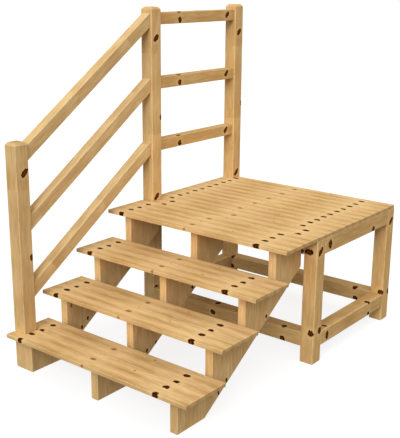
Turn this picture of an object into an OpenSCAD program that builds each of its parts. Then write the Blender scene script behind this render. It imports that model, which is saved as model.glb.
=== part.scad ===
// Wooden deck stairs: a small platform on posts and legs, a flight of open treads on three
// saw-tooth stringers, and a railing of posts and rails along the left side.
// X runs along the treads, Y runs from the foot of the stairs back to the platform, Z is up.
// The origin is on the ground, under the middle of the whole footprint.

/* [Platform] */
// Width over the outer faces of the posts and legs
platform_w = 1265; // [900:5:2000]
// Depth over the outer faces of the posts and legs
platform_d = 912; // [600:1:1500]
// Length of the platform's boards that stands in front of the frame, over the stringers
front_overhang = 309; // [300:1:360]

/* [Timber] */
// Side of the square timber of the posts, legs and bottom stretchers
post_w = 84; // [60:1:110]
// Width of a tread board or deck board
board_w = 148; // [110:1:180]
// Thickness of a tread board or deck board
board_t = 21; // [18:1:40]
// Space between two boards
board_gap = 4; // [2:1:12]
// Clearance between a board and a post that it is cut around
notch_gap = 2; // [1:1:5]
// Narrowest strip of a board that is left standing beside a post
min_strip = 30; // [20:1:50]
// Thickness of a stringer
stringer_t = 47; // [35:1:70]
// Thickness of a rail
rail_t = 60; // [35:1:60]
// Height of a rail, measured square to its length
rail_h = 70; // [60:1:110]
// Thickness of an apron or of the joist under the deck
apron_t = 47; // [25:1:60]
// Height of an apron or of the joist under the deck
apron_h = 90; // [70:1:110]
// Height of the bottom stretchers above the ground
stretcher_z = 94; // [50:1:140]

/* [Stairs] */
// Height of the first tread's upper face above the ground
first_tread_h = 211; // [150:1:240]
// Rise from one tread to the next
rise = 178; // [140:1:190]
// Going from one tread to the next
going = 266; // [230:1:290]
// Gap between the rear edge of a tread and the risers of the stringers behind it
riser_gap = 24; // [2:1:40]
// Plumb depth of a stringer below the inner corners of its seats
stringer_depth = 151; // [120:1:200]
// Distance from the right stringer to the right ends of the treads
right_inset = 100; // [20:1:200]
// Distance to the right from halfway between the outer stringers to the middle one
middle_shift = -12; // [-100:1:100]

/* [Railing] */
// Height of the upper face of the top level rail above the platform
guard_h = 1136; // [900:1:1300]
// Distance from one level rail up to the next
rail_spacing = 379; // [250:1:450]
// Height of the middle and rear posts above the top level rail
post_reveal = 33; // [20:1:100]
// Height of the front post above the lower end of the top stair rail
front_post_reveal = 25; // [20:1:100]
// Chamfer around the top of a post
post_chamfer = 14; // [4:1:25]

/* [Hidden] */
// Treads below the platform, boards in a tread, and rails one above the other
tread_count = 3;
tread_boards = 2;
rail_count = 3;

board_pitch = board_w + board_gap;
board_count = floor((platform_d + front_overhang + board_gap) / board_pitch);
// Depth of a tread, and the part of it that stands in front of its stringers
tread_d = tread_boards * board_pitch - board_gap;
nosing = tread_d + riser_gap - going;
slope = rise / going;
rail_plumb_h = rail_h * sqrt(1 + slope * slope);
cut = 1;

// Faces of the footprint: left, right, first tread's front, frame's front and frame's rear
left_x = -platform_w / 2;
right_x = platform_w / 2;
front_y = -(tread_count * going + front_overhang + platform_d) / 2;
frame_y = front_y + tread_count * going + front_overhang;
rear_y = frame_y + platform_d;

// Faces of the frame's members that look inwards, between the posts and legs
inner_left_x = left_x + post_w;
inner_right_x = right_x - post_w;
inner_front_y = frame_y + post_w;
inner_rear_y = rear_y - post_w;

// Upper face of the platform, and of the frame under its boards
deck_h = first_tread_h + tread_count * rise;
seat_z = deck_h - board_t;

// Left faces of the three stringers
left_stringer_x = inner_left_x;
right_stringer_x = right_x - right_inset - stringer_t;
middle_stringer_x = (left_stringer_x + right_stringer_x) / 2 + middle_shift;

// Front post, the rails' left face, their fall down the stairs and the heights of the posts
front_post_y = front_y + nosing;
rail_x = left_x + (post_w - rail_t) / 2;
stair_fall = (frame_y - front_post_y - post_w) * slope;
top_rail_z = deck_h + guard_h;
post_h = top_rail_z + post_reveal;
front_post_h = top_rail_z - stair_fall + front_post_reveal;

// Front edge and upper face of tread i, where the first tread is 1 and the platform is 4
function tread_y(i) = front_y + (i - 1) * going;
function tread_z(i) = deck_h - (tread_count + 1 - i) * rise;
// Front edge of platform board i, counted from the front board of the top tread
function deck_y(i) = frame_y - front_overhang + (i - 1) * board_pitch;
// Upper face of level rail i, counted from the top
function rail_z(i) = top_rail_z - (i - 1) * rail_spacing;

rail_names = ["top", "middle", "bottom"];

// A squared timber from its lowest corner to its highest corner
module timber(low, high) {
    translate(low) cube(high - low);
}

// A plank whose outline, drawn in Y and Z, runs along X
module plank(x, thickness, outline) {
    translate([x, 0, 0]) rotate([90, 0, 90]) linear_extrude(thickness) polygon(outline);
}

// The room that a board, from front to rear, leaves for a post whose front face is at y.
// Where less than a narrow strip would stand beside the post, the cut runs out to the edge.
module post_room(y, front, rear) {
    low = y - notch_gap;
    high = y + post_w + notch_gap;
    timber(
        [left_x - cut, low - front < min_strip ? front - cut : low, 0],
        [inner_left_x + notch_gap, rear - high < min_strip ? rear + cut : high, post_h]
    );
}

// One board laid along X over the full width, cut around any post that it meets
module board(y, z) {
    rear = y + board_w;
    difference() {
        timber([left_x, y, z - board_t], [right_x, rear, z]);
        for (post_y = [front_post_y, frame_y, inner_rear_y])
            if (rear > post_y - notch_gap && y < post_y + post_w + notch_gap) post_room(post_y, y, rear);
    }
}

module tread_board(i, row) {
    color("wheat") board(tread_y(i) + (row - 1) * board_pitch, tread_z(i));
}

module deck_board(i) {
    color("wheat") board(deck_y(i), deck_h);
}

// A saw-tooth stringer: a foot on the ground, a seat for each tread, a plumb rear end
// against the front apron, and a straight underside at the pitch of the stairs
module stringer(x) {
    inner_z = tread_z(tread_count) - board_t;
    rear_z = inner_z + (front_overhang - nosing) * slope - stringer_depth;
    teeth = [
        for (i = [1:tread_count + 1])
            each [
                [tread_y(i) + nosing, i == 1 ? 0 : tread_z(i - 1) - board_t],
                [tread_y(i) + nosing, tread_z(i) - board_t],
            ]
    ];
    rear_end = [[frame_y, seat_z], [frame_y, rear_z], [frame_y - rear_z / slope, 0]];
    color("tan") plank(x, stringer_t, concat(teeth, rear_end));
}

// A post from the ground up, with a chamfer around its top
module post(y, height) {
    side = post_w - post_chamfer;
    shoulder = height - post_chamfer;
    outline = [
        [0, 0], [post_w, 0], [post_w, shoulder], [side, height], [post_chamfer, height], [0, shoulder],
    ];
    color("burlywood") translate([left_x, y, 0]) intersection() {
        plank(0, post_w, outline);
        translate([0, post_w, 0]) rotate([90, 0, 0]) linear_extrude(post_w) polygon(outline);
    }
}

// A leg from the ground up to the underside of the deck boards
module leg(y) {
    color("burlywood") timber([inner_right_x, y, 0], [right_x, y + post_w, seat_z]);
}

// A timber along X between the posts and legs, from its front face at y
module cross_member(y, thickness, z, height) {
    color("tan") timber([inner_left_x, y, z], [inner_right_x, y + thickness, z + height]);
}

// A timber along Y between the posts and legs, from its left face at x
module side_member(x, thickness, z, height) {
    color("tan") timber([x, inner_front_y, z], [x + thickness, inner_rear_y, z + height]);
}

// The joist under the middle of the deck boards, between the front and rear aprons
module deck_joist() {
    color("tan") timber(
        [middle_stringer_x, frame_y + apron_t, seat_z - apron_h],
        [middle_stringer_x + stringer_t, rear_y - apron_t, seat_z]
    );
}

// A rail down the stairs, cut plumb against the middle post and the front post
module stair_rail(i) {
    lower_y = front_post_y + post_w;
    top = rail_z(i);
    bottom = top - rail_plumb_h;
    color("wheat") plank(rail_x, rail_t, [
        [lower_y, bottom - stair_fall], [frame_y, bottom], [frame_y, top], [lower_y, top - stair_fall],
    ]);
}

// A level rail along the platform, between the middle post and the rear post
module deck_rail(i) {
    color("wheat")
        timber([rail_x, inner_front_y, rail_z(i) - rail_h], [rail_x + rail_t, inner_rear_y, rail_z(i)]);
}

for (i = [1:tread_count]) {
    tread_board(i, 1);
    tread_board(i, 2);
}
deck_board(1);  // top_tread_front
deck_board(2);  // top_tread_rear
for (i = [tread_boards + 1:board_count])
    deck_board(i);

stringer(left_stringer_x);  // stringer_left
stringer(middle_stringer_x);  // stringer_middle
stringer(right_stringer_x);  // stringer_right

post(front_post_y, front_post_h);  // post_front
post(frame_y, post_h);  // post_middle
post(inner_rear_y, post_h);  // post_rear
leg(frame_y);  // leg_front
leg(inner_rear_y);  // leg_rear

cross_member(frame_y, apron_t, seat_z - apron_h, apron_h);  // apron_front
cross_member(rear_y - apron_t, apron_t, seat_z - apron_h, apron_h);  // apron_rear
side_member(left_x, apron_t, seat_z - apron_h, apron_h);  // apron_left
side_member(right_x - apron_t, apron_t, seat_z - apron_h, apron_h);  // apron_right
deck_joist();

cross_member(frame_y, post_w, stretcher_z, post_w);  // stretcher_front
cross_member(inner_rear_y, post_w, stretcher_z, post_w);  // stretcher_rear
side_member(left_x, post_w, stretcher_z, post_w);  // stretcher_left
side_member(inner_right_x, post_w, stretcher_z, post_w);  // stretcher_right

for (i = [1:rail_count]) {
    stair_rail(i);
    deck_rail(i);
}
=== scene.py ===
# %% [markdown]
# # Wooden deck stairs
#
# This notebook dresses a set of deck stairs: a small platform on posts and legs, three open
# treads on saw-tooth stringers, and a railing down the left side. A CAD model already fixes
# where every timber lies and how big it is. Here each timber gets what a saw and a plane
# leave on the real one: eased edges, chamfered post tops, and pine with its grain and knots.

# %% Load the CAD frame
import math

import bpy
import numpy as np
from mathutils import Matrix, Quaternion, Vector


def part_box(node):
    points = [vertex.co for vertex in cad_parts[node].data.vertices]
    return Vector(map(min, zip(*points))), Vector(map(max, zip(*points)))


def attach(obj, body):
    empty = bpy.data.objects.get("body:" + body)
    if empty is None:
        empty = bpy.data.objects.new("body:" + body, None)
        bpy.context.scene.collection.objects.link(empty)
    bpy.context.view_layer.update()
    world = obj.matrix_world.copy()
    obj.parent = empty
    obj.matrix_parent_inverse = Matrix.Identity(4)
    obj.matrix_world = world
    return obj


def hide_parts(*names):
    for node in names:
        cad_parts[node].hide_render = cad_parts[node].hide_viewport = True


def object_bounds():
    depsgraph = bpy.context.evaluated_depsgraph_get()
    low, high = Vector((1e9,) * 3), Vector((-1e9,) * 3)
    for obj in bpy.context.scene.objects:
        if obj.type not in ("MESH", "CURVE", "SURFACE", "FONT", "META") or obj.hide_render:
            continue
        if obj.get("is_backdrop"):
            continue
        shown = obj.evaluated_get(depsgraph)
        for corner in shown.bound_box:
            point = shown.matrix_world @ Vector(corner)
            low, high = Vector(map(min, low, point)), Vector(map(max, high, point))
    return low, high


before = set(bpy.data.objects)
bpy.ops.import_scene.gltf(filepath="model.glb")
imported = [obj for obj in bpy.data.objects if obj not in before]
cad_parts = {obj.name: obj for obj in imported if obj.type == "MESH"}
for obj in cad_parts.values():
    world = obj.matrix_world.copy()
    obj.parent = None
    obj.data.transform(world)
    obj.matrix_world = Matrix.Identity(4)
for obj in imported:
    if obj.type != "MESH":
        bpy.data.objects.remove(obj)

cad_low, cad_high = (np.array(corner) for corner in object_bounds())
print(len(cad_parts), "timbers, size in metres", np.round(cad_high - cad_low, 3))

# %% [markdown]
# ## Sizes that belong to the stairs
#
# A piece needs to know the box of its own timber, and a few sizes that several timbers share,
# such as the rise and the going. They could be typed in again, but then they could drift away
# from the CAD model. They are measured on the CAD pieces instead.


# %% Measure the stairs
def box(node):
    """Lowest and highest corner of a CAD timber, as two arrays."""
    low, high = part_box(node)
    return np.array(low), np.array(high)


first_tread, second_tread = box("tread_1_front"), box("tread_2_front")
going = second_tread[0][1] - first_tread[0][1]
rise = second_tread[0][2] - first_tread[0][2]
slope = rise / going
print(f"going {going:.3f} m, rise {rise:.3f} m, slope {math.degrees(math.atan(slope)):.1f} degrees")

# %% [markdown]
# ## How a timber is shaped
#
# Every timber here is an outline carried along a straight line. A plain box would look like a
# toy block, because a planed timber has no sharp corner: the plane takes it off, and the small
# round that is left catches the light. A Bevel modifier could round the edges, but it also
# works on seams that aren't edges. The rounds are worked out instead, twice with the same
# curve: round the corners of the outline, and again where the sides turn into the two ends.

# %% Round the corners of an outline
CORNER_STEPS = 5
print("each corner becomes", CORNER_STEPS, "points")


def eased(corners, radius, closed=True):
    """Rounds the corners of an outline, or of an open path whose two end points then fall away.

    Each corner V becomes the parabola (1-t)^2 A + 2t(1-t) V + t^2 B for t from 0 to 1. A lies on
    the edge before the corner and B on the edge after it, both at radius times the tangent of
    half the turn. Returns the points, and how much of an outer corner each is: 4t(1-t), or 0 at
    a corner of a closed outline that turns inwards.
    """
    before, after = np.roll(corners, 1, 0), np.roll(corners, -1, 0)
    into, out = corners - before, after - corners
    into /= np.linalg.norm(into, axis=1, keepdims=True)
    out /= np.linalg.norm(out, axis=1, keepdims=True)
    cross = into[:, 0] * out[:, 1] - into[:, 1] * out[:, 0]
    turn = np.arctan2(cross, (into * out).sum(1))
    reach = (radius * np.tan(np.abs(turn) / 2))[:, None]
    t = np.linspace(0, 1, CORNER_STEPS)[:, None, None]
    start, end = corners - into * reach, corners + out * reach
    points = (1 - t) ** 2 * start + 2 * t * (1 - t) * corners + t**2 * end
    middle = 4 * t[:, :, 0] * (1 - t[:, :, 0])
    outer = middle * (turn > 0)
    if not closed:
        points, outer = points[:, 1:-1], (middle * np.ones(len(corners)))[:, 1:-1]
    return points.transpose(1, 0, 2).reshape(-1, 2), outer.T.ravel()


def inset(corners, depth):
    """Moves every side of a closed outline inwards by depth.

    Each corner moves along the sum of the inward normals m and n of its two sides, by depth
    times (m + n) / (1 + m . n).
    """
    side = np.roll(corners, -1, 0) - corners
    side /= np.linalg.norm(side, axis=1, keepdims=True)
    inward = np.column_stack([-side[:, 1], side[:, 0]])
    earlier = np.roll(inward, 1, 0)
    return corners + depth * (inward + earlier) / (1 + (inward * earlier).sum(1))[:, None]


# %% [markdown]
# ## From outline to mesh
#
# One function carries the outline along its line. It also writes what the wood needs to know:
# where each point lies along, across and through the timber, how near it is to the middle of a
# rounded edge, which hands and feet wear pale and where a highlight is painted, and one number of
# chance for the whole timber. The alternative is to let the material guess all this from the
# object's place, but then every board of the platform would cut through the same figure, and no
# two boards of a real deck come alike.

# %% Write a number or a vector on every point
def write(mesh, name, values):
    """Stores one number, or three, for each point of a mesh as an attribute of that name."""
    kind, field = ("FLOAT", "value") if values.ndim == 1 else ("FLOAT_VECTOR", "vector")
    layer = mesh.attributes.new(name, kind, "POINT")
    layer.data.foreach_set(field, values.astype(np.float32).ravel())


# %% Carry an outline along a line
def carried(name, corners, axis, path, radius):
    """Surface of an outline carried along an axis: rings of points (ring j, corner point i).

    path holds (place along the axis, inset) pairs. Ring j is the outline inset by its own
    amount, at its own place, so a path that turns inwards closes the timber with a round or a
    chamfer. The outline lies in the two axes that follow the carrying one: y, z after x.
    """
    stations, end_wear_and_highlight = eased(np.array(path, float), radius, closed=False)
    rings, wear = [], []
    for (place, depth), station_wear_and_highlight in zip(stations, end_wear_and_highlight):
        ring, corner_wear_and_highlight = eased(inset(corners, depth), max(radius - depth, radius / 4))
        rings.append(np.column_stack([np.full(len(ring), place), ring]))
        wear.append(np.maximum(corner_wear_and_highlight, station_wear_and_highlight))
    # The first and last ring border the flat ends, and the edge wear and painted highlight there
    # would spread over them
    wear[0], wear[-1] = 0 * wear[0], 0 * wear[-1]
    count, around = len(rings), len(rings[0])
    points = np.roll(np.concatenate(rings), axis, axis=1)
    j, i = np.meshgrid(np.arange(count - 1), np.arange(around), indexing="ij")
    here, beside = j * around + i, j * around + (i + 1) % around
    sides = np.stack([here, beside, beside + around, here + around], -1).reshape(-1, 4).tolist()
    ends = [np.arange(around)[::-1].tolist(), (np.arange(around) + (count - 1) * around).tolist()]
    mesh = bpy.data.meshes.new(name)
    mesh.from_pydata(points.tolist(), [], sides + ends)
    mesh.shade_smooth()
    # Share of the middle of a round at each point: edge wear, and where a highlight is painted
    write(mesh, "wear", np.concatenate(wear))
    return mesh, points


def straight(low, high, margin=0.02):
    """Path along one axis from low to high that turns square into both ends."""
    return [(low, margin), (low, 0), (high, 0), (high, margin)]


def rectangle(low, high):
    """Corners of a rectangle, anticlockwise from the lowest one."""
    return np.array([[low[0], low[1]], [high[0], low[1]], [high[0], high[1]], [low[0], high[1]]])


# %% [markdown]
# ## A finished timber
#
# The last helper turns a mesh into a piece of the stairs. It lays the grain along the timber,
# adds the Weighted Normal modifier so that flat faces stay flat while the small rounds shade
# softly, hangs the piece on the root body, and hides the CAD timber that it stands for.

# %% Finish a timber
X, Y, Z = 0, 1, 2
chance = np.random.default_rng(20)


def grain_rows(axis, pitch=0.0):
    """Unit vectors along, across and through a timber; pitch tilts the first two up the stairs."""
    rows = np.roll(np.eye(3), -axis, axis=0)
    c, s = math.cos(pitch), math.sin(pitch)
    return np.array([c * rows[0] + s * rows[1], c * rows[1] - s * rows[0], rows[2]])


def finish(node, shape, rows, origin, wood):
    """Makes the object of one timber, gives it its wood, and has it stand for its CAD node."""
    mesh, points = shape
    grain = (points - origin) @ rows.T
    write(mesh, "grain", grain)
    write(mesh, "chance", np.full(len(points), chance.random()))
    piece = bpy.data.objects.new(mesh.name, mesh)
    bpy.context.scene.collection.objects.link(piece)
    mesh.materials.append(wood)
    flat = piece.modifiers.new("flat faces", "WEIGHTED_NORMAL")
    flat.weight = 100
    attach(piece, "root")
    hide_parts(node)
    return piece


# %% [markdown]
# ## Writing a material as arithmetic
#
# A wood is a long sum of patterns, and a long sum is easier to read as arithmetic than as a web
# of nodes. This small class wraps the socket of a node, so that adding or multiplying two of
# them adds the Math node that does it. One method, make, adds every other kind of node.


# %% A socket that can be added and multiplied
class Wire:
    """The output of a shader node. Arithmetic with numbers or other wires adds Math nodes."""

    def __init__(self, tree, socket):
        self.tree, self.socket = tree, socket

    @staticmethod
    def make(tree, kind, settings=None, sockets=None, out=0):
        """Adds a node of any kind: settings first, then the values or wires of its sockets."""
        node = tree.nodes.new(kind)
        for key, value in (settings or {}).items():
            if key == "stops":
                ramp = node.color_ramp.elements
                while len(ramp) < len(value):
                    ramp.new(1.0)
                for stop, (place, colour) in zip(ramp, value):
                    stop.position, stop.color = place, (*colour, 1.0)
            else:
                setattr(node, key, value)
        for key, value in (sockets or {}).items():
            if isinstance(value, Wire):
                tree.links.new(value.socket, node.inputs[key])
            else:
                node.inputs[key].default_value = value
        return Wire(tree, node.outputs[out]) if node.outputs else None

    def math(self, operation, *others):
        """A Math node whose values are this wire and then the others."""
        sockets = dict(enumerate((self, *others)))
        return Wire.make(self.tree, "ShaderNodeMath", {"operation": operation}, sockets)

    def __add__(self, other):
        return self.math("ADD", other)

    def __sub__(self, other):
        return self.math("SUBTRACT", other)

    def __rsub__(self, other):
        sockets = {0: other, 1: self}
        return Wire.make(self.tree, "ShaderNodeMath", {"operation": "SUBTRACT"}, sockets)

    def __mul__(self, other):
        return self.math("MULTIPLY", other)

    def __pow__(self, other):
        return self.math("POWER", other)

    __radd__ = __add__
    __rmul__ = __mul__

    def vector(self, operation, *values, out=0):
        """Vector Math of this wire and other vectors; out 1 is a length or a dot product."""
        sockets = {0: self, **dict(enumerate(values, 1))}
        return Wire.make(self.tree, "ShaderNodeVectorMath", {"operation": operation}, sockets, out)

    def between(self, low, high):
        """Goes softly from 0 to 1 as this wire goes from low to high, whichever is the larger."""
        settings = {"interpolation_type": "SMOOTHSTEP"}
        sockets = {"Value": self, "From Min": low, "From Max": high}
        return Wire.make(self.tree, "ShaderNodeMapRange", settings, sockets)

    def blend(self, first, second):
        """Colour first where this wire is 0, second where it is 1."""
        sockets = {0: self, 6: first, 7: second}
        return Wire.make(self.tree, "ShaderNodeMix", {"data_type": "RGBA"}, sockets, out=2)


def noise(place, stretch, detail=2.0):
    """Soft noise from 0 to 1 that changes stretch times per metre along, across and through."""
    sockets = {"Vector": place.vector("MULTIPLY", stretch), "Scale": 1.0, "Detail": detail}
    return Wire.make(place.tree, "ShaderNodeTexNoise", {}, sockets)


# %% [markdown]
# ## Pine
#
# The stairs are planed pine under a thin clear finish. A tree lays down a pale and a dark layer
# of wood each year, so a sawn face shows where the saw went through those layers: straight
# lines where it cut across them, wide flames where it ran along them. An image of wood would
# repeat and would stop at each edge. Here the layers are cylinders round a pith beside the
# timber, and every face cuts the same cylinders, so the lines run over each corner as in
# real wood. A branch makes a knot: an egg-shaped dark body with a pale, bent ring of fibres.

# %% Colours of pine
EARLY_WOOD = (0.790, 0.512, 0.226)
LATE_WOOD = (0.560, 0.318, 0.112)
ORANGE_WOOD = (0.780, 0.455, 0.170)
OLIVE_WOOD = (0.690, 0.485, 0.205)
HALO_WOOD = (0.890, 0.600, 0.278)
# Pale of the middles of the rounded edges: wear, and a painted highlight
WORN_AND_HIGHLIT_WOOD = (0.860, 0.640, 0.360)
END_WOOD = (0.470, 0.275, 0.110)
BAND_WOOD = (0.470, 0.255, 0.080)
# From the heart of a knot out to its rim
KNOT_STOPS = [
    (0.00, (0.120, 0.024, 0.002)),
    (0.42, (0.190, 0.050, 0.005)),
    (0.66, (0.060, 0.011, 0.001)),
    (0.90, (0.024, 0.004, 0.000)),
    (1.00, (0.130, 0.042, 0.008)),
]
FAINT_STOPS = [
    (0.00, (0.150, 0.045, 0.008)),
    (1.00, (0.420, 0.205, 0.060)),
]
print(len(KNOT_STOPS), "colours in a dark knot,", len(FAINT_STOPS), "in a faint one")


def colour(rgb, tone=(1.0, 1.0, 1.0)):
    """A colour times a tone, as the four numbers that a colour socket takes."""
    return (*(part * share for part, share in zip(rgb, tone)), 1.0)


# %% Patterns of pine
# How often each changes in a metre along, across and through the timber, and its detail
DRIFT = (0.9, 5.0, 5.0), 1.0
PATCHES = (4.0, 9.0, 9.0), 1.0
STREAKS = (0.8, 30.0, 30.0), 3.0
CLOUDS = (5.0, 7.0, 7.0), 1.0
DASHES = (11.0, 85.0, 85.0), 1.0
FIBRES = (14.0, 620.0, 620.0), 2.0
BLOTCHES = (55.0, 55.0, 55.0), 1.0
# Breaks up the pale edges of wear and painted highlight
EDGE_WEAR_AND_HIGHLIGHT_NOISE = (40.0, 60.0, 60.0), 2.0
print(f"fibres about {1000 / FIBRES[0][1]:.1f} mm wide and {1000 / FIBRES[0][0]:.0f} mm long")


def wave(place, first, spacing):
    """Goes from 1 at first to 0 half a spacing on, and back.

    It is 0.5 + 0.5 cos(2 pi (place - first) / spacing).
    """
    return ((place - first) * (math.tau / spacing)).math("COSINE") * 0.5 + 0.5


def layered(body, layers, tone):
    """Lays colours over body, one after the other; each layer is (mask, share, colour)."""
    for mask, share, paint in layers:
        body = (mask * share).blend(body, colour(paint, tone))
    return body


# %% [markdown]
# The rings come first. A cylinder round the pith is a distance, a year is a turn of a sine, and
# the narrow dark layer is that sine raised to a power. The tree's trunk is never straight, so a
# slow noise lets the rings drift, and near a knot they swirl aside.

# %% Count the rings
RINGS_PER_METRE = 150.0
RING_DRIFT = 5.0
RING_SWIRL = 2.2
print(f"a ring every {1000 / RINGS_PER_METRE:.1f} mm")


def late_wood(grain, pith, drift, dark):
    """Share of the year's dark layer: (0.5 + 0.5 sin(2 pi r)) to the power 2.5.

    r counts rings: distance from the pith times rings in a metre, plus the drift, plus a swirl
    exp(-0.35 d^2) round a knot at distance d.
    """
    core = grain.vector("SUBTRACT", (0.0, *pith)).vector("MULTIPLY", (0.0, 1.0, 1.0))
    swirl = (dark * dark * -0.35).math("EXPONENT")
    rings = core.vector("LENGTH", out=1) * RINGS_PER_METRE
    rings = rings + drift * RING_DRIFT + swirl * RING_SWIRL
    return ((rings * math.tau).math("SINE") * 0.5 + 0.5) ** 2.5


# %% [markdown]
# A knot is the foot of a branch. An ellipsoid is enough for it, with a ragged skin, and every
# face that cuts the ellipsoid shows its own section of it. A colour ramp over the distance to
# the nearest one gives the heart and the black rim. Knots could be painted on each face
# instead, but then they would not meet at the corners.

# %% Put the knots in
RAGGED_SCALE = 85.0
RAGGED_DEPTH = (0.020, 0.015, 0.015)


def nearest_knot(place, knots):
    """Distance to the nearest knot, the least of |(place - middle) / radii|; its skin is at 1."""
    nearest = None
    for middle, radii in knots:
        offset = place.vector("SUBTRACT", middle).vector("DIVIDE", radii)
        distance = offset.vector("LENGTH", out=1)
        nearest = distance if nearest is None else nearest.math("MINIMUM", distance)
    return nearest


def ragged(grain, own):
    """The place in the timber, shifted a little each way so that a knot's skin is not smooth."""
    sockets = {"Vector": own, "Scale": RAGGED_SCALE, "Detail": 2.0}
    shift = Wire.make(own.tree, "ShaderNodeTexNoise", {}, sockets, out=1)
    return shift.vector("SUBTRACT", (0.5, 0.5, 0.5)).vector("MULTIPLY_ADD", RAGGED_DEPTH, grain)


def with_knots(body, own, dark, faint, heart):
    """Covers body with its dark knots and its faint ones.

    heart moves the start of a dark knot's ramp, so that more of it has the colour of the rim.
    """
    blotch = noise(own, *BLOTCHES) * 0.7 - 0.35
    sockets = {0: dark + blotch + heart}
    knot = Wire.make(own.tree, "ShaderNodeValToRGB", {"stops": KNOT_STOPS}, sockets)
    soft_knot = Wire.make(own.tree, "ShaderNodeValToRGB", {"stops": FAINT_STOPS}, {0: faint})
    body = dark.between(1.12, 0.92).blend(body, knot)
    return (faint.between(1.25, 0.70) * 0.85).blend(body, soft_knot)


# %% [markdown]
# The wood's colour is then a stack of thin layers, as a painter would glaze it: warm and cool
# patches, streaks, the rings, and what only some timbers have. Boards show dark bands and pale
# places. Posts and stair rails are glued from short lengths with finger joints, and each length
# comes from another place in a tree. A stack is easy to tune, one layer at a time.

# %% Lay the colours of the wood
# How far the dark bands of a board and its pale places wander, in metres
BAND_WANDER, GLOW_WANDER = 0.012, 0.10


def figure(places, drift, late, luck, tone, band, glow, lengths, cloudy):
    """Colour of the clean wood, and the pattern of its fibres.

    places holds how far along and how far across the timber a point lies, and its own place in
    the tree. The other values are those of pine, which calls this.
    """
    along, across, own = places
    patch, streak, fibre = (noise(own, *kind) for kind in (PATCHES, STREAKS, FIBRES))
    cloud, dash = noise(own, *CLOUDS), noise(own, *DASHES)
    layers = [
        (patch.between(0.45, 0.75), 0.50, ORANGE_WOOD),
        (patch.between(0.50, 0.25), 0.45, OLIVE_WOOD),
        (streak.between(0.35, 0.68) * 0.38 + luck * 0.10, 1.0, LATE_WOOD),
        (late, 0.24, LATE_WOOD),
    ]
    if band:
        across = across + drift * BAND_WANDER - BAND_WANDER / 2
        layers.append((wave(across, *band) ** 1.5, 0.85, BAND_WOOD))
    if glow:
        along = along + drift * GLOW_WANDER - GLOW_WANDER / 2
        layers.append((wave(along, *glow), 0.50, HALO_WOOD))
    if lengths:
        # Each glued length is pale near its start, and once more further on
        layers.append((wave(lengths.math("FRACT"), 0.05, 1 / 1.75), 0.45, HALO_WOOD))
    layers += [
        (fibre.between(0.45, 0.75), 0.18, LATE_WOOD),
        (cloud.between(0.55, 0.30), cloudy, LATE_WOOD),
        (cloud.between(0.50, 0.75), cloudy, HALO_WOOD),
        (dash.between(0.45, 0.75), 0.40, LATE_WOOD),
        (dash.between(0.50, 0.25), 0.40, HALO_WOOD),
    ]
    return layered(colour(EARLY_WOOD, tone), layers, tone), fibre


# %% [markdown]
# Last come the parts that depend on the shape: the sawn ends, which drink more finish and turn
# dark, and the middles of the rounded edges, which turn pale except on the hard knots. That pale
# is partly wear and partly a painted highlight, where the round would catch the light. Then the
# colour goes to the shader, with a little roughness and relief from the same patterns. The thin
# finish hardly shines, so the specular level is almost nothing.

# %% Plane the pine
# How far apart in the tree two glued lengths, and two timbers, are taken from
LOT_STEP = 0.37
OWN_PLACE = (31.0, 17.0, 23.0)


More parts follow.
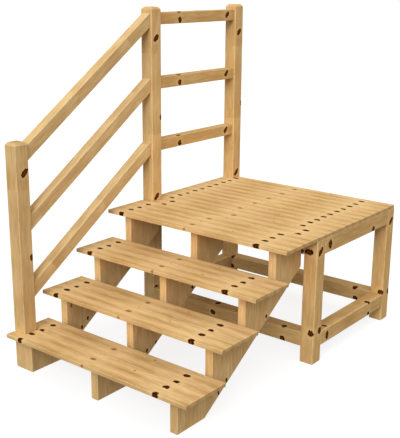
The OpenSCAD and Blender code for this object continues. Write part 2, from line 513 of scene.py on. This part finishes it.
def pine(
    name, along, pith, knots, faint_knots, tone=(1.0, 1.0, 1.0),
    band=None, glow=None, joint=None, heart=0.0, cloudy=0.3,
):
    """Pine for one timber or a set of like ones.

    along is the axis of its grain, pith the place of the tree's middle across and through the
    timber, and each knot is (middle, radii) in metres along, across and through it. band is
    (first, spacing) of dark bands across the timber, glow the same for pale places along it,
    and joint is (place, length) of finger joints between the lengths that it is glued from.
    heart from 0 to 1 darkens its knots, and cloudy is the strength of its wide soft patches.
    """
    wood = bpy.data.materials.new(name)
    wood.use_nodes = True
    tree = wood.node_tree
    tree.nodes.clear()
    grain = Wire.make(tree, "ShaderNodeAttribute", {"attribute_name": "grain"}, out=1)
    luck = Wire.make(tree, "ShaderNodeAttribute", {"attribute_name": "chance"}, out=2)
    # Middles of the rounds, for the pale of edge wear and painted highlight
    wear = Wire.make(tree, "ShaderNodeAttribute", {"attribute_name": "wear"}, out=2)
    place, across = (
        Wire.make(tree, "ShaderNodeSeparateXYZ", {}, {"Vector": grain}, out=out) for out in (0, 1)
    )

    lot, lengths = luck, None
    if joint:
        lengths = (place * -1.0 + joint[0]) * (1.0 / joint[1])
        lot = luck + lengths.math("FLOOR") * LOT_STEP
    own = lot.vector("MULTIPLY_ADD", OWN_PLACE, grain)

    skin = ragged(grain, own)
    dark, faint = nearest_knot(skin, knots), nearest_knot(skin, faint_knots)
    drift = noise(own, *DRIFT)
    late = late_wood(grain, pith, drift, dark)
    places = place, across, own
    body, fibre = figure(places, drift, late, luck, tone, band, glow, lengths, cloudy)
    body = layered(body, [(dark.between(3.0, 1.1), 0.40, HALO_WOOD)], tone)
    body = with_knots(body, own, dark, faint, heart)

    facing = tuple(float(n) for n in np.eye(3)[along])
    normal = Wire.make(tree, "ShaderNodeTexCoord", out=1)
    end = normal.vector("DOT_PRODUCT", facing, out=1).math("ABSOLUTE") ** 8.0
    # Pale middles of the rounds: edge wear, and a painted highlight where the edge would catch light
    rubbed_and_highlit = wear * noise(own, *EDGE_WEAR_AND_HIGHLIGHT_NOISE).between(0.30, 0.60) * dark.between(0.95, 1.20)
    body = layered(body, [(end, 0.5, END_WOOD), (rubbed_and_highlit, 0.6, WORN_AND_HIGHLIT_WOOD)], tone)

    rough = 0.60 + fibre * 0.14 - late * 0.06 + end * 0.15
    relief = fibre * 0.5 - late * 0.35 - dark.between(1.1, 0.9) * 0.5
    sockets = {"Strength": 0.2, "Distance": 0.0008, "Height": relief}
    bump = Wire.make(tree, "ShaderNodeBump", {}, sockets)
    sockets = {"Base Color": body, "Roughness": rough, "Normal": bump, "Specular IOR Level": 0.01}
    surface = Wire.make(tree, "ShaderNodeBsdfPrincipled", {}, sockets)
    Wire.make(tree, "ShaderNodeOutputMaterial", {}, {"Surface": surface})
    print(f"{name}: {len(tree.nodes)} nodes, {len(knots)} knots, {len(faint_knots)} faint ones")
    return wood


# %% [markdown]
# ## The boards
#
# Treads, the top tread and the platform are one kind of board, laid side by side with a narrow
# gap for rain. Three of them meet a post and are cut around it. The board is drawn from above,
# as a plan with its cut, and carried down through its thickness. A Boolean could cut it too,
# but then the small rounds along the cut would be missing.

# %% Knots of a board
ROUND = (1.0, 1.0, 1.0)


def branch(along, across, through, size, squeeze=(1.0, 0.8, 2.5)):
    """A knot: its middle, and its radii as a size times how it is stretched three ways."""
    return (along, across, through), tuple(size * part for part in squeeze)


def slanted(along, across, through, size):
    """A branch that leaves at a slant: three knots in a row that run into each other."""
    steps = ((-0.55, 0.80), (0.0, 0.90), (0.55, 0.75))
    return [
        branch(along + step * size, across + step * size, through, size * part, ROUND)
        for step, part in steps
    ]


board_knots = [
    branch(0.106, 0.088, 0.012, 0.020, (1.0, 0.70, 2.5)),
    branch(1.073, 0.086, 0.012, 0.021, (1.0, 0.70, 2.5)),
    branch(0.109, 0.004, 0.014, 0.018, (1.0, 0.9, 1.0)),
    branch(1.075, 0.004, 0.012, 0.020, (1.0, 0.9, 1.0)),
]
board_faint_knots = [
    branch(0.586, 0.080, 0.012, 0.019, (1.0, 0.7, 2.5)),
    branch(0.588, 0.004, 0.012, 0.010, ROUND),
    branch(0.840, 0.118, 0.012, 0.008),
]
board_wood = pine(
    "board_pine", X, (0.070, -0.055), board_knots, board_faint_knots, (1.07, 1.11, 1.17),
    band=(0.012, 0.076), glow=(0.106, 0.483), heart=0.25, cloudy=0.08,
)

# %% [markdown]
# The cut leaves a little room round the post, because wood swells when it is wet. Where only a
# narrow strip would be left beside the post, the cut runs out to the edge of the board.

# %% Cut and lay the boards
POST_ROOM = 0.002
NARROW_STRIP = 0.03
BOARD_EDGE = 0.002


def board_plan(low, high, post):
    """Plan of a board seen from above, with the corner cut away where a post stands in it."""
    corners = rectangle(low[:2], high[:2])
    if post is None:
        return corners
    (_, post_front, _), (post_right, post_rear, _) = post
    side, front, rear = post_right + POST_ROOM, post_front - POST_ROOM, post_rear + POST_ROOM
    left, right, near, far = low[0], high[0], low[1], high[1]
    if near < post_front - NARROW_STRIP:
        corners = [
            [left, near], [right, near], [right, far],
            [side, far], [side, front], [left, front],
        ]
    else:
        corners = [
            [side, near], [right, near], [right, far],
            [left, far], [left, rear], [side, rear],
        ]
    return np.array(corners)


meeting = {
    "tread_1_front": "post_front",
    "deck_board_1": "post_middle",
    "deck_board_6": "post_rear",
}
# This board's knots lie further in, clear of the middle post
knot_shift = {"deck_board_1": 0.065}
boards = [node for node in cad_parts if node.startswith(("tread", "top_tread", "deck_board"))]
for node in boards:
    low, high = box(node)
    plan = board_plan(low, high, box(meeting[node]) if node in meeting else None)
    shape = carried(f"{node}_planed", plan, Z, straight(low[2], high[2]), BOARD_EDGE)
    origin = low + (knot_shift.get(node, 0.0), 0, 0)
    finish(node, shape, grain_rows(X), origin, board_wood)
print(len(boards), "boards")

# %% [markdown]
# ## The stringers
#
# A stringer is one plank with a step sawn out for each tread. Its outline is seen from the side
# and carried through the plank's thickness. The seats follow from the rise and the going; only
# the two lowest corners of its back are measured on the CAD piece. Blocks stacked to steps
# would be quicker, but their seams would break the grain of what is one plank.

# %% Saw the stringers
STRINGER_EDGE = 0.004
TOUCHING = 1e-4


def stringer_outline(node):
    """Corners of the saw-tooth, from the foot round to the back.

    Riser i stands i - 1 goings behind the first one, and seat i at the underside of tread i.
    """
    low, high = box(node)
    tread_low = first_tread[0][2]
    steps = np.arange(4)
    riser = low[1] + steps * going
    seat = tread_low + steps * rise
    below = np.concatenate([[0.0], seat[:-1]])
    lower, upper = np.column_stack([riser, below]), np.column_stack([riser, seat])
    teeth = np.stack([lower, upper], 1).reshape(-1, 2)
    points = np.array([v.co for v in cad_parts[node].data.vertices])
    back_z = points[points[:, 1] > high[1] - TOUCHING][:, 2].min()
    heel_y = points[points[:, 2] < TOUCHING][:, 1].max()
    back = np.array([[high[1], high[2]], [high[1], back_z], [heel_y, 0.0]])
    return np.concatenate([teeth, back])[::-1]


# Height above the ground, and distance behind the foot, of the knots in the right faces
stringer_knots = {
    "stringer_left": [(0.183, 0.425), (0.144, 0.376), (0.420, 0.790)],
    "stringer_middle": [(0.171, 0.447), (0.144, 0.374), (0.400, 0.760)],
    "stringer_right": [(0.139, 0.382), (0.096, 0.317), (0.372, 0.724)],
}
for number, (node, heights) in enumerate(stringer_knots.items()):
    low, high = box(node)
    outline, path = stringer_outline(node), straight(low[0], high[0])
    knots = [branch(z, 0.047, y, 0.010, (1.3, 2.0, 0.8)) for z, y in heights]
    faint = [branch(0.30, 0.047, 0.30 + 0.06 * number, 0.012, (1.2, 2.0, 0.8))]
    wood = pine(f"{node}_pine", Z, (0.16, 0.36 + 0.05 * number), knots, faint, (1.06, 1.09, 1.15))
    shape = carried(f"{node}_sawn", outline, X, path, STRINGER_EDGE)
    finish(node, shape, grain_rows(Z), low, wood)
    print(f"{node}: {len(outline)} corners")

# %% [markdown]
# ## Posts and legs
#
# The three posts carry the railing. Rain would stand on a flat top, so its four upper edges are
# planed off at an angle. That needs no new shape, and no separate cap with a seam: the path of
# the post simply turns inwards before it ends. The two legs on the other side stop flat under
# the boards.

# %% Knots of the posts and legs
def leaning(along, across, through, size):
    """A branch that leaves at a slant: three knots in a row, up and through the post."""
    steps = ((-0.60, 0.70), (0.0, 0.85), (0.60, 0.70))
    return [
        branch(along + step * size, across, through + step * size, size * part, ROUND)
        for step, part in steps
    ]


post_knots = {
    "post_front": [
        *leaning(1.100, 0.084, 0.054, 0.018),
        branch(0.631, 0.084, 0.074, 0.013, (1.5, 1.2, 0.9)),
        branch(0.350, 0.000, 0.040, 0.014, ROUND),
    ],
    "post_middle": [
        *leaning(1.735, 0.084, 0.040, 0.018),
        branch(1.263, 0.084, 0.078, 0.013, (1.5, 1.2, 0.8)),
        *leaning(0.772, 0.084, 0.036, 0.018),
        branch(0.169, 0.084, 0.021, 0.016, (1.2, 1.2, 1.0)),
        branch(1.480, 0.000, 0.050, 0.013, ROUND),
    ],
    "post_rear": [
        *leaning(1.735, 0.084, 0.040, 0.018),
        branch(1.263, 0.084, 0.078, 0.012, (1.5, 1.2, 0.8)),
        *leaning(0.783, 0.084, 0.040, 0.018),
        branch(1.560, 0.030, 0.084, 0.012, ROUND),
    ],
    "leg_front": [
        branch(0.656, 0.031, 0.000, 0.024, (0.68, 1.15, 1.5)),
        *leaning(0.660, 0.084, 0.036, 0.019),
        branch(0.186, 0.065, 0.000, 0.018, ROUND),
        branch(0.189, 0.084, 0.062, 0.017, (1.2, 1.0, 1.0)),
    ],
    "leg_rear": [
        *leaning(0.647, 0.084, 0.046, 0.018),
        branch(0.187, 0.070, 0.000, 0.019, ROUND),
        branch(0.180, 0.084, 0.074, 0.016, (1.2, 1.0, 1.0)),
    ],
}
print(sum(map(len, post_knots.values())), "knots in", len(post_knots), "posts and legs")

# %% Stand the posts and legs
POST_EDGE = 0.006
POST_CHAMFER = 0.014
# How far the path of a post runs in over its flat top
POST_TOP = 0.035
GLUED_LENGTH = 0.482

first_joints = {"post_front": 1.007, "post_middle": 1.645, "post_rear": 1.645}
post_tones = {
    "post_front": (0.95, 0.97, 1.00),
    "post_middle": (1.00, 1.02, 1.03),
    "leg_front": (1.03, 1.01, 0.96),
    "leg_rear": (1.04, 1.02, 0.97),
}
for node, knots in post_knots.items():
    low, high = box(node)
    path, joint = straight(low[2], high[2]), None
    if node.startswith("post"):
        path[2:] = [(high[2] - POST_CHAMFER, 0), (high[2], POST_CHAMFER), (high[2], POST_TOP)]
        joint = (first_joints[node], GLUED_LENGTH)
    faint = [
        branch(0.42 + 0.1 * len(knots), 0.000, 0.040, 0.010, ROUND),
        branch(0.35, 0.030, 0.084, 0.009, ROUND),
    ]
    tone = post_tones.get(node, (0.99, 0.98, 0.95))
    wood = pine(f"{node}_pine", Z, (0.10, -0.02), knots, faint, tone, joint=joint)
    shape = carried(f"{node}_planed", rectangle(low[:2], high[:2]), Z, path, POST_EDGE)
    finish(node, shape, grain_rows(Z), low, wood)

# %% [markdown]
# ## The frame under the platform
#
# Aprons carry the boards from post to leg, one joist carries them in the middle, and stretchers
# near the ground keep the feet apart. The level rails of the railing are made in the same way.
# One block could be copied and stretched to each size, but its rounds and its grain would
# stretch too. So the same two helpers make each timber from its own box, and only the axis and
# the knots differ.

# %% Knots of the level timbers
rail_knots = [
    branch(0.188, 0.022, 0.060, 0.015, (1.1, 1.2, 1.0)),
    branch(0.180, 0.072, 0.054, 0.012, (1.8, 0.6, 1.0)),
    *slanted(0.668, 0.040, 0.060, 0.016),
    branch(0.430, 0.020, 0.000, 0.010, ROUND),
]
level_timbers = {
    "deck_rail_top": (Y, rail_knots),
    "deck_rail_middle": (Y, rail_knots),
    "deck_rail_bottom": (Y, rail_knots),
    "apron_front": (X, [
        branch(1.078, 0.000, 0.020, 0.016, ROUND),
        branch(0.520, 0.000, 0.060, 0.014, ROUND),
    ]),
    "apron_rear": (X, [
        branch(0.300, 0.047, 0.030, 0.016, ROUND),
        branch(0.880, 0.047, 0.070, 0.016, ROUND),
    ]),
    "apron_left": (Y, [
        branch(0.250, 0.050, 0.000, 0.016, ROUND),
        branch(0.620, 0.020, 0.000, 0.014, ROUND),
    ]),
    "apron_right": (Y, [
        branch(0.052, 0.045, 0.047, 0.016, (1.15, 1.7, 1.0)),
        branch(0.560, 0.014, 0.047, 0.017, ROUND),
    ]),
    "deck_joist": (Y, [branch(0.300, 0.010, 0.040, 0.016, ROUND)]),
    "stretcher_front": (X, [
        branch(0.977, 0.000, 0.012, 0.016, ROUND),
        branch(0.979, 0.016, 0.084, 0.016, ROUND),
        *slanted(0.478, 0.000, 0.042, 0.016),
        branch(0.476, 0.052, 0.084, 0.018, ROUND),
    ]),
    "stretcher_rear": (X, [
        branch(0.993, 0.000, 0.012, 0.016, ROUND),
        branch(0.985, 0.010, 0.084, 0.018, ROUND),
        branch(0.478, 0.006, 0.020, 0.014, ROUND),
        branch(0.011, 0.008, 0.084, 0.018, ROUND),
        branch(0.009, 0.000, 0.012, 0.016, ROUND),
    ]),
    "stretcher_left": (Y, [
        branch(0.180, 0.084, 0.020, 0.016, ROUND),
        branch(0.520, 0.030, 0.000, 0.016, ROUND),
    ]),
    "stretcher_right": (Y, [
        branch(0.079, 0.084, 0.058, 0.013, (1.0, 1.0, 1.3)),
        branch(0.067, 0.040, 0.084, 0.015, (0.9, 1.8, 1.0)),
        branch(0.565, 0.084, 0.071, 0.018, ROUND),
        branch(0.563, 0.009, 0.084, 0.015, ROUND),
    ]),
}
print(len(level_timbers), "level timbers")

# %% Lay the level timbers
TIMBER_EDGE = 0.005
BESIDE_PITH = (-0.02, 0.10)

for node, (axis, knots) in level_timbers.items():
    low, high = box(node)
    ring_axes = [(axis + 1) % 3, (axis + 2) % 3]
    outline, path = rectangle(low[ring_axes], high[ring_axes]), straight(low[axis], high[axis])
    faint = [branch(0.40, 0.045, 0.000, 0.011, ROUND), branch(0.80, 0.020, 0.000, 0.010, ROUND)]
    wood = pine(f"{node}_pine", axis, BESIDE_PITH, knots, faint, (0.97, 0.95, 0.90))
    shape = carried(f"{node}_planed", outline, axis, path, TIMBER_EDGE)
    finish(node, shape, grain_rows(axis), low, wood)

# %% [markdown]
# ## The rails down the stairs
#
# A sloping rail is cut plumb where it meets a post, so from the side it is a parallelogram. A
# level rail could be sheared to that shape, but its fibres would not turn with it. Here they
# run down the slope, because the grain is turned by the pitch of the stairs.

# %% Cut the sloping rails
pitch = math.atan(slope)
# Place along and across the rail, and size, of the knots in each rail's left face
stair_knots = {
    "stair_rail_top": [(0.330, 0.030, 0.011), (0.860, 0.055, 0.009)],
    "stair_rail_middle": [(0.500, 0.025, 0.010), (0.940, 0.045, 0.010)],
    "stair_rail_bottom": [(0.210, 0.050, 0.010), (0.720, 0.025, 0.011)],
}
for node, places in stair_knots.items():
    low, high = box(node)
    (left, front, foot), (right, rear, top) = low, high
    fall = (rear - front) * slope
    corners = np.array([[front, foot], [rear, foot + fall], [rear, top], [front, top - fall]])
    knots = [branch(along, across, 0.0, size, ROUND) for along, across, size in places]
    faint = [branch(0.60, 0.040, 0.000, 0.009, ROUND), branch(1.02, 0.020, 0.000, 0.010, ROUND)]
    joint = (foot + 0.30, GLUED_LENGTH)
    wood = pine(f"{node}_pine", Y, BESIDE_PITH, knots, faint, (0.98, 1.04, 1.13), joint=joint)
    shape = carried(f"{node}_planed", corners, X, straight(left, right), TIMBER_EDGE)
    finish(node, shape, grain_rows(Y, pitch), low, wood)

# %% [markdown]
# ## Floor and backdrop
#
# The stairs stand on a plain pale sheet, as in a photographer's studio: level under the stairs,
# then curving up far away, so that no line shows where the floor ends. A plain plane would show
# its edge from low down. The sheet glows a little, which keeps the shadows on it pale, and it
# is hidden from the light that bounces, so that only the sun and the sky light the wood.

# %% Roll out the sheet
FLAT_RADIUS, SWEEP_RADIUS = 60.0, 25.0


def studio_sheet(around=96, rings=12):
    """Level disc that bends up into a quarter circle, all turned about the vertical axis.

    The rings of the disc crowd to the middle: their radius is R times a share cubed. On the
    bend the radius is R + r sin(a) and the height r (1 - cos(a)), for a from 0 to 90 degrees.
    """
    share = np.linspace(0.05, 1, rings) ** 3 * FLAT_RADIUS
    bend = np.linspace(0, math.pi / 2, rings)[1:]
    radius = np.concatenate([share, FLAT_RADIUS + SWEEP_RADIUS * np.sin(bend)])
    height = np.concatenate([0 * share, SWEEP_RADIUS * (1 - np.cos(bend))])
    turn = np.linspace(0, math.tau, around, endpoint=False)[None, :]
    out = radius[:, None]
    points = np.broadcast_arrays(out * np.cos(turn), out * np.sin(turn), height[:, None])
    points = np.stack(points, -1).reshape(-1, 3)
    j, i = np.meshgrid(np.arange(len(radius) - 1), np.arange(around), indexing="ij")
    here, beside = j * around + i, j * around + (i + 1) % around
    quads = np.stack([here, here + around, beside + around, beside], -1).reshape(-1, 4).tolist()
    mesh = bpy.data.meshes.new("studio_floor")
    mesh.from_pydata(points.tolist(), [], [np.arange(around).tolist()] + quads)
    mesh.shade_smooth()
    return mesh


FLOOR_GREY = (0.28, 0.28, 0.28, 1.0)
FLOOR_GLOW = 0.82

floor = bpy.data.objects.new("studio_floor", studio_sheet())
bpy.context.scene.collection.objects.link(floor)
pale = bpy.data.materials.new("pale_floor")
pale.use_nodes = True
paint = pale.node_tree.nodes["Principled BSDF"].inputs
paint["Base Color"].default_value = FLOOR_GREY
paint["Roughness"].default_value = 0.9
paint["Specular IOR Level"].default_value = 0.0
paint["Emission Color"].default_value = (1.0, 1.0, 1.0, 1.0)
paint["Emission Strength"].default_value = FLOOR_GLOW
floor.data.materials.append(pale)
floor.visible_diffuse = floor.visible_glossy = floor.visible_shadow = False
floor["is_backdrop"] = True
print(len(floor.data.polygons), "faces in the sheet")

# %% [markdown]
# ## Light
#
# Two lights do the work. The sky is brightest overhead, a little brighter on the right, and
# black below, so each face of a timber gets its own tone and undersides stay dark. One broad sun
# stands in front and a little to the right, at a third of the way up, and reaches the risers
# under the treads. It is so broad that it draws no hard shadow. Lamps with an area would do the
# same, but they light near timbers more than far ones.

# %% Light the sky and the sun
world = bpy.data.worlds.new("studio_sky")
bpy.context.scene.world = world
world.use_nodes = True
sky = world.node_tree
sky.nodes.clear()
SKY_LEAN, SKY_LEVEL = (0.10, 0.0, 0.52), 0.34
SKY_WHITE = (1.0, 0.98, 0.95, 1.0)
looking = Wire.make(sky, "ShaderNodeTexCoord")
brightness = (looking.vector("DOT_PRODUCT", SKY_LEAN, out=1) + SKY_LEVEL).math("MAXIMUM", 0.0)
sockets = {"Color": SKY_WHITE, "Strength": brightness}
background = Wire.make(sky, "ShaderNodeBackground", {}, sockets)
Wire.make(sky, "ShaderNodeOutputWorld", {}, {"Surface": background})


def aim(thing, direction, roll=0.0):
    """Turns a light or camera so that it looks along direction, rolled about it."""
    thing.rotation_mode = "QUATERNION"
    turn = Vector(direction).to_track_quat("-Z", "Y")
    thing.rotation_quaternion = turn @ Quaternion((0.0, 0.0, 1.0), roll)


def heading_to(side, dip):
    """Direction that turns right by side from straight back, then dips: all in radians."""
    return math.cos(dip) * math.sin(side), math.cos(dip) * math.cos(side), -math.sin(dip)


SUN_POWER = 1.95
SUN_WIDTH = math.radians(40)
SUN_HEIGHT = math.radians(31)
SUN_SIDE = math.radians(-20)

sun = bpy.data.objects.new("soft_sun", bpy.data.lights.new("soft_sun", "SUN"))
sun.data.energy = SUN_POWER
sun.data.angle = SUN_WIDTH
sun.data.color = (0.98, 1.0, 1.02)
bpy.context.scene.collection.objects.link(sun)
aim(sun, heading_to(SUN_SIDE, SUN_HEIGHT))
print("sun aims along", np.round(heading_to(SUN_SIDE, SUN_HEIGHT), 2))

# %% [markdown]
# ## Camera
#
# The camera stands in front of the stairs, to the right, a little above the railing, and looks
# down on the treads. A long lens from some distance keeps the timbers nearly parallel, as in a
# catalogue. Its roll is under half a degree, because the stairs stand a trace off level in view.

# %% Set up the camera
camera = bpy.data.objects.new("camera", bpy.data.cameras.new("camera"))
bpy.context.scene.collection.objects.link(camera)
bpy.context.scene.camera = camera
camera.location = (2.80231, -3.64538, 2.07454)
camera.data.sensor_width = 36.0
camera.data.lens = 68.88
camera.data.clip_end = 400.0
heading, dip, roll = math.radians(-38.51), math.radians(16.01), math.radians(0.44)
aim(camera, heading_to(heading, dip), roll)
bpy.context.scene.view_settings.view_transform = "Standard"
print("camera stands at", np.round(camera.location, 2), "with a lens of", camera.data.lens, "mm")

# %% [markdown]
# ## Check the size and finish
#
# The dressed stairs must fill the same box as the CAD model. Both boxes are measured, and their
# difference is printed.

# %% Measure both boxes
low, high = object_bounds()
sizes = {"cad": [list(map(float, cad_low)), list(map(float, cad_high))], "visual": [list(low), list(high)]}
difference = np.array(sizes["visual"]) - np.array(sizes["cad"])
print("difference in metres", np.round(difference, 5).tolist())
